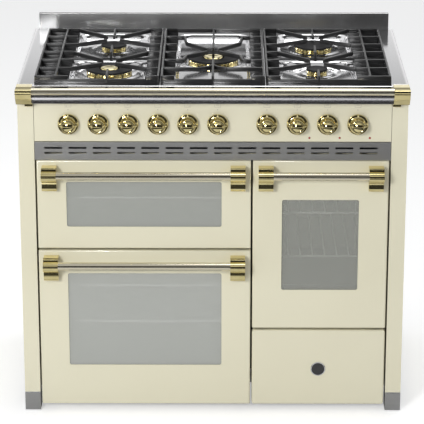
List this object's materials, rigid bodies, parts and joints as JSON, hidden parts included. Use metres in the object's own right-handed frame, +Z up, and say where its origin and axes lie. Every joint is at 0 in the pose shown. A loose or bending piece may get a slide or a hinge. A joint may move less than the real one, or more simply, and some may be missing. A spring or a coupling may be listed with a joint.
{
  "type": "range cooker",
  "caption": "Enamelled range cooker with wide upper and lower ovens, a tall oven over a drawer, brass knobs and handles, and a gas hob with cast iron supports.",
  "frame": {"origin": "on the floor, under the middle of the bounding box in plan", "axes": "+X to the cooker's right as seen from the front, -Y out of the doors, +Z up"},
  "size_m": [1, 0.66, 0.948],
  "materials": {
    "cream_enamel": "glossy vitreous enamel",
    "brushed_steel": "fine brushed",
    "polished_steel": "polished",
    "brass": "polished",
    "cast_iron": "matt black enamel on casting",
    "black_enamel": "satin black enamel",
    "oven_enamel": "speckled grey enamel",
    "glass": "tinted reflective",
    "galvanised_steel": "galvanised",
    "red_lens": "clear red",
    "ceramic": "glazed ceramic"
  },
  "bodies": {
    "cabinet": {"base_frame": "galvanised_steel", "back_panel": "galvanised_steel", "side_panel_left": "cream_enamel", "side_panel_right": "cream_enamel", "foot_covers": "brushed_steel", "levelling_feet": "galvanised_steel", "face_frame": "cream_enamel", "hob_top": "brushed_steel", "front_moulding": "polished_steel", "corner_caps": "brass", "backguard": "polished_steel", "pan_support_left": "cast_iron", "pan_support_centre": "cast_iron", "pan_support_right": "cast_iron", "burner_rings": "brass", "burner_caps": "black_enamel", "wok_centre_caps": "brass", "spark_plugs": "ceramic", "control_fascia": "cream_enamel", "indicator_lamps": "red_lens", "taps_and_switches": "brass", "vent_grille": "brushed_steel", "oven_liner_upper": "oven_enamel", "oven_liner_lower": "oven_enamel", "oven_liner_right": "oven_enamel", "oven_racks": "polished_steel", "oven_elements": "black_enamel"},
    "upper_oven_door": {"door_upper": "cream_enamel", "door_inner_upper": "oven_enamel", "door_glass_upper": "glass", "handle_bar_upper": "polished_steel", "handle_ends_upper": "brass"},
    "lower_oven_door": {"door_lower": "cream_enamel", "door_inner_lower": "oven_enamel", "door_glass_lower": "glass", "handle_bar_lower": "polished_steel", "handle_ends_lower": "brass"},
    "right_oven_door": {"door_right": "cream_enamel", "door_inner_right": "oven_enamel", "door_glass_right": "glass", "handle_bar_right": "polished_steel", "handle_ends_right": "brass"},
    "storage_drawer": {"drawer_front": "cream_enamel", "drawer_box": "galvanised_steel", "drawer_badge": "black_enamel"},
    "gas_spindle_1": {"gas_stem_1": "polished_steel"},
    "control_knob_1": {"knob_1": "brass"},
    "gas_spindle_2": {"gas_stem_2": "polished_steel"},
    "control_knob_2": {"knob_2": "brass"},
    "gas_spindle_3": {"gas_stem_3": "polished_steel"},
    "control_knob_3": {"knob_3": "brass"},
    "gas_spindle_4": {"gas_stem_4": "polished_steel"},
    "control_knob_4": {"knob_4": "brass"},
    "gas_spindle_5": {"gas_stem_5": "polished_steel"},
    "control_knob_5": {"knob_5": "brass"},
    "control_knob_6": {"knob_6": "brass"},
    "control_knob_7": {"knob_7": "brass"},
    "control_knob_8": {"knob_8": "brass"},
    "control_knob_9": {"knob_9": "brass"},
    "control_knob_10": {"knob_10": "brass"}
  },
  "joints": [
    {"name": "upper_door_hinge", "type": "hinge", "parent": "cabinet", "child": "upper_oven_door", "pos_m": [-0.178, -0.258, 0.4855], "axis": [1, 0, 0], "range_deg": [0, 90]},
    {"name": "lower_door_hinge", "type": "hinge", "parent": "cabinet", "child": "lower_oven_door", "pos_m": [-0.178, -0.258, 0.071], "axis": [1, 0, 0], "range_deg": [0, 90]},
    {"name": "right_door_hinge", "type": "hinge", "parent": "cabinet", "child": "right_oven_door", "pos_m": [0.27925, -0.258, 0.2635], "axis": [1, 0, 0], "range_deg": [0, 90]},
    {"name": "drawer_slide", "type": "slide", "parent": "cabinet", "child": "storage_drawer", "axis": [0, -1, 0], "range_m": [0, 0.28]},
    {"name": "gas_stem_1_push", "type": "slide", "parent": "cabinet", "child": "gas_spindle_1", "axis": [0, 1, 0], "range_m": [0, 0.004], "stiffness_N_per_m": 1000},
    {"name": "knob_1_turn", "type": "hinge", "parent": "gas_spindle_1", "child": "control_knob_1", "pos_m": [-0.37, -0.2748, 0.797], "axis": [0, -1, 0], "range_deg": [0, 210]},
    {"name": "gas_stem_2_push", "type": "slide", "parent": "cabinet", "child": "gas_spindle_2", "axis": [0, 1, 0], "range_m": [0, 0.004], "stiffness_N_per_m": 1000},
    {"name": "knob_2_turn", "type": "hinge", "parent": "gas_spindle_2", "child": "control_knob_2", "pos_m": [-0.2935, -0.2748, 0.797], "axis": [0, -1, 0], "range_deg": [0, 210]},
    {"name": "gas_stem_3_push", "type": "slide", "parent": "cabinet", "child": "gas_spindle_3", "axis": [0, 1, 0], "range_m": [0, 0.004], "stiffness_N_per_m": 1000},
    {"name": "knob_3_turn", "type": "hinge", "parent": "gas_spindle_3", "child": "control_knob_3", "pos_m": [-0.217, -0.2748, 0.797], "axis": [0, -1, 0], "range_deg": [0, 210]},
    {"name": "gas_stem_4_push", "type": "slide", "parent": "cabinet", "child": "gas_spindle_4", "axis": [0, 1, 0], "range_m": [0, 0.004], "stiffness_N_per_m": 1000},
    {"name": "knob_4_turn", "type": "hinge", "parent": "gas_spindle_4", "child": "control_knob_4", "pos_m": [-0.1405, -0.2748, 0.797], "axis": [0, -1, 0], "range_deg": [0, 210]},
    {"name": "gas_stem_5_push", "type": "slide", "parent": "cabinet", "child": "gas_spindle_5", "axis": [0, 1, 0], "range_m": [0, 0.004], "stiffness_N_per_m": 1000},
    {"name": "knob_5_turn", "type": "hinge", "parent": "gas_spindle_5", "child": "control_knob_5", "pos_m": [-0.064, -0.2748, 0.797], "axis": [0, -1, 0], "range_deg": [0, 210]},
    {"name": "knob_6_turn", "type": "hinge", "parent": "cabinet", "child": "control_knob_6", "pos_m": [0.0125, -0.2748, 0.797], "axis": [0, -1, 0], "range_deg": [-270, 0]},
    {"name": "knob_7_turn", "type": "hinge", "parent": "cabinet", "child": "control_knob_7", "pos_m": [0.1385, -0.2748, 0.797], "axis": [0, -1, 0], "range_deg": [-270, 0]},
    {"name": "knob_8_turn", "type": "hinge", "parent": "cabinet", "child": "control_knob_8", "pos_m": [0.216, -0.2748, 0.797], "axis": [0, -1, 0], "range_deg": [-270, 0]},
    {"name": "knob_9_turn", "type": "hinge", "parent": "cabinet", "child": "control_knob_9", "pos_m": [0.2935, -0.2748, 0.797], "axis": [0, -1, 0], "range_deg": [-270, 0]},
    {"name": "knob_10_turn", "type": "hinge", "parent": "cabinet", "child": "control_knob_10", "pos_m": [0.371, -0.2748, 0.797], "axis": [0, -1, 0], "range_deg": [-270, 0]}
  ]
}
